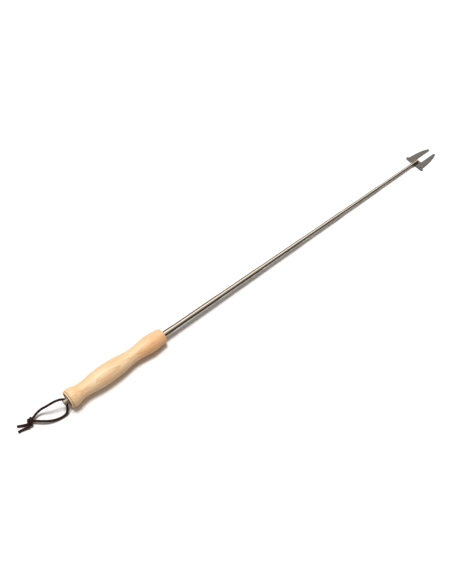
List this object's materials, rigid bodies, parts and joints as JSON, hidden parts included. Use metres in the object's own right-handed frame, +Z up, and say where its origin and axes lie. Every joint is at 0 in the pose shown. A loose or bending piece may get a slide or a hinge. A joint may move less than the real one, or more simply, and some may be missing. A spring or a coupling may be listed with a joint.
{
  "type": "telescopic marshmallow roasting fork",
  "caption": "Telescopic roasting fork: slotted turned wooden handle, nested sliding steel tubes, flat two-pronged head and a knotted leather lanyard.",
  "frame": {"origin": "on the floor, under the middle of the fork's length, with the lanyard left out", "axes": "+X from the handle to the prongs, +Y to the fork's left, +Z up from the floor it lies on; the tubes' axis slopes 0.92 degrees down towards the prongs"},
  "size_m": [0.7832, 0.0362, 0.0291],
  "materials": {
    "handle_wood": "sanded and lightly oiled beech",
    "end_disc_steel": "turned sheet steel, blackened",
    "stud_steel": "turned, dull",
    "plug_brass": "machined",
    "tube_steel": "polished stainless tube",
    "sleeve_brass": "drawn strip",
    "ferrule_steel": "turned, semi-polished",
    "head_steel": "matt tumbled stainless sheet",
    "lanyard_leather": "round dark brown thong"
  },
  "bodies": {
    "handle": {"handle_grip": "handle_wood", "end_disc": "end_disc_steel", "lanyard_stud": "stud_steel", "tube_plug": "plug_brass", "outer_tube": "tube_steel", "lanyard_far_leg": "lanyard_leather", "lanyard_near_leg": "lanyard_leather", "lanyard_knot": "lanyard_leather", "lanyard_far_tail": "lanyard_leather", "lanyard_near_tail": "lanyard_leather"},
    "stage_1": {"tube_1": "tube_steel", "sleeve_1": "sleeve_brass"},
    "stage_2": {"tube_2": "tube_steel", "sleeve_2": "sleeve_brass"},
    "stage_3": {"tube_3": "tube_steel", "sleeve_3": "sleeve_brass"},
    "stage_4": {"tube_4": "tube_steel", "sleeve_4": "sleeve_brass"},
    "stage_5": {"tube_5": "tube_steel", "sleeve_5": "sleeve_brass"},
    "stage_6": {"tube_6": "tube_steel", "sleeve_6": "sleeve_brass"},
    "stage_7": {"tube_7": "tube_steel", "sleeve_7": "sleeve_brass", "head_ferrule": "ferrule_steel", "fork_head": "head_steel", "head_rivet": "ferrule_steel"}
  },
  "joints": [
    {"name": "stage_1_slide", "type": "slide", "parent": "handle", "child": "stage_1", "axis": [0.9999, 0, -0.0161], "range_m": [-0.0694, 0.0134]},
    {"name": "stage_2_slide", "type": "slide", "parent": "stage_1", "child": "stage_2", "axis": [0.9999, 0, -0.0161], "range_m": [-0.0823, 0.0005]},
    {"name": "stage_3_slide", "type": "slide", "parent": "stage_2", "child": "stage_3", "axis": [0.9999, 0, -0.0161], "range_m": [-0.0763, 0.0065]},
    {"name": "stage_4_slide", "type": "slide", "parent": "stage_3", "child": "stage_4", "axis": [0.9999, 0, -0.0161], "range_m": [-0.0808, 0.002]},
    {"name": "stage_5_slide", "type": "slide", "parent": "stage_4", "child": "stage_5", "axis": [0.9999, 0, -0.0161], "range_m": [-0.0828, 0]},
    {"name": "stage_6_slide", "type": "slide", "parent": "stage_5", "child": "stage_6", "axis": [0.9999, 0, -0.0161], "range_m": [-0.0818, 0.001]},
    {"name": "stage_7_slide", "type": "slide", "parent": "stage_6", "child": "stage_7", "axis": [0.9999, 0, -0.0161], "range_m": [-0.0733, 0.0095]}
  ]
}
